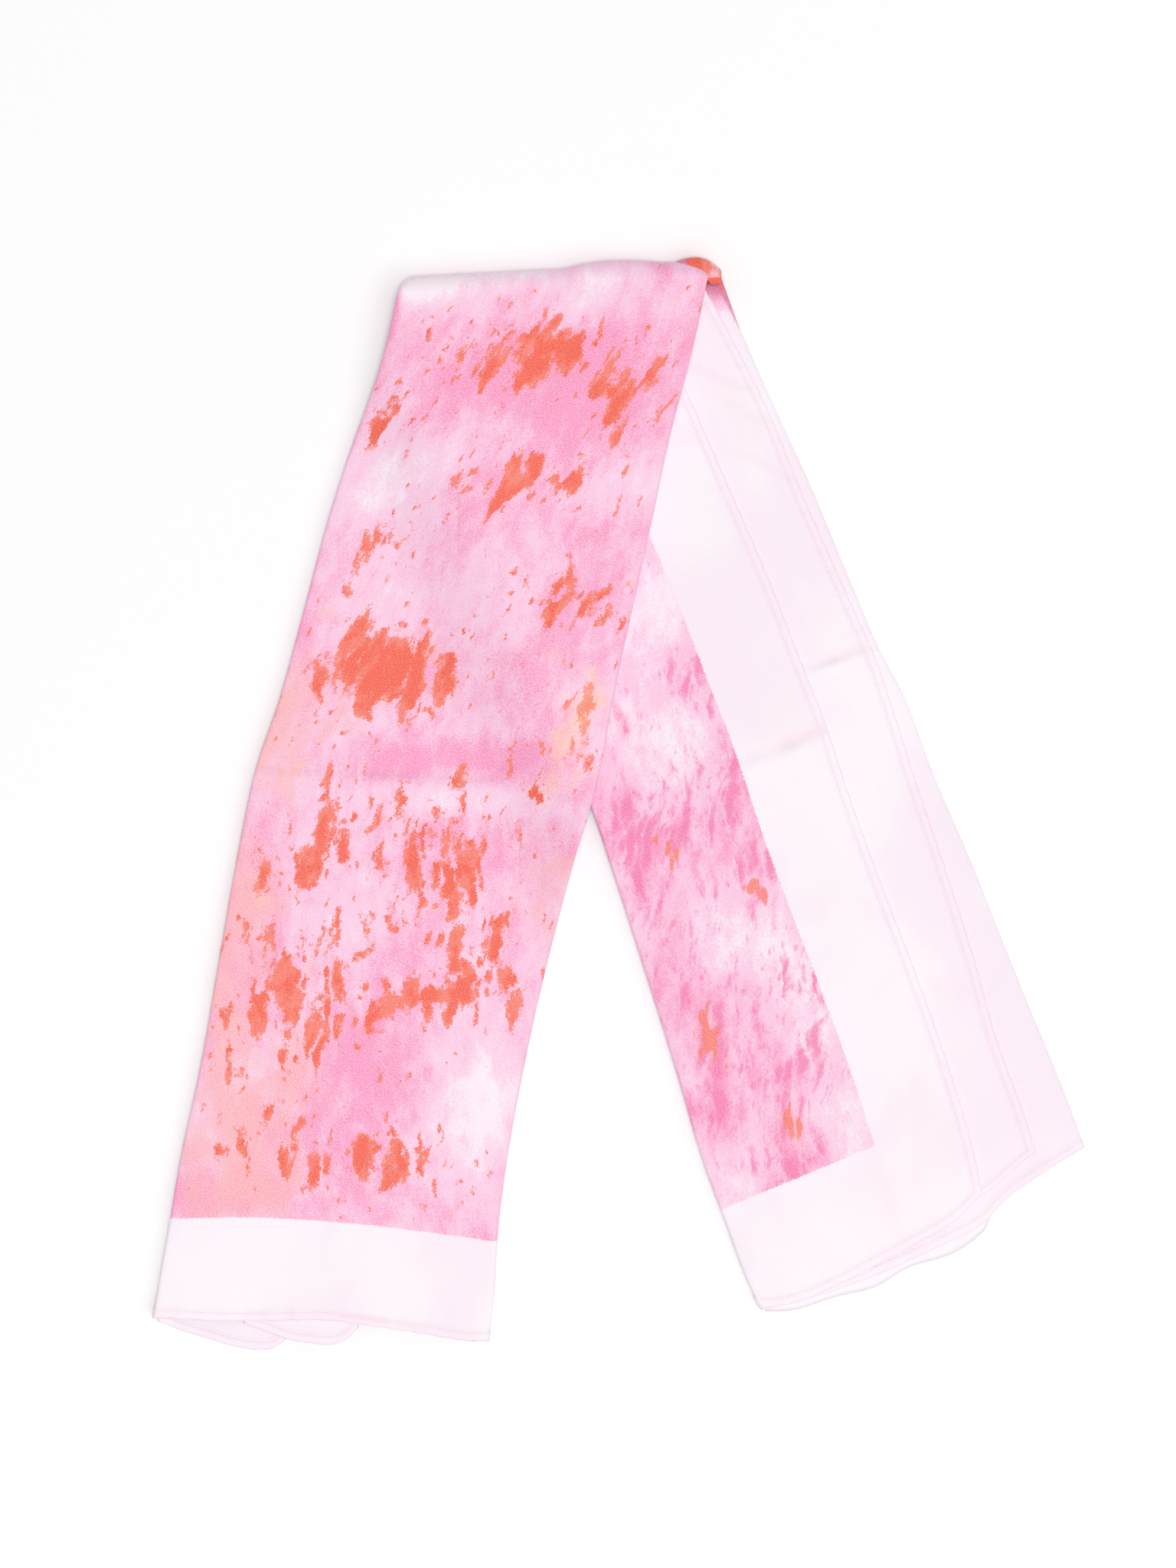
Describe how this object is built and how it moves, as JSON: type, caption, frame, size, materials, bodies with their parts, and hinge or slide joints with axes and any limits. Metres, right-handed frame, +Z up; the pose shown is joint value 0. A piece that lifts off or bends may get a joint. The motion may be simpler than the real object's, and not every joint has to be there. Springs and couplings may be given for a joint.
{
  "type": "bandana",
  "caption": "Square satin bandana with hemmed edges, folded into a strip and folded over once, lying flat in an upturned V for display or as a soft accessory.",
  "frame": {"origin": "centre of the folded scarf's bounding box, on the surface that it lies on", "axes": "+Z up from the surface, +Y towards the fold that joins the two legs, +X to the right seen from above"},
  "size_m": [0.31, 0.364, 0.0117],
  "materials": {
    "printed_satin": "satin",
    "pale_printed_satin": "satin",
    "plain_satin": "satin"
  },
  "bodies": {
    "root": {"front_stretch": "printed_satin", "fold_roll": "printed_satin", "right_flap": "pale_printed_satin", "right_under_flap": "plain_satin", "side_panel": "plain_satin", "right_hidden_layers": "plain_satin", "left_hidden_layers": "plain_satin", "left_end_fold": "plain_satin", "left_end_hem": "plain_satin"}
  },
  "joints": []
}
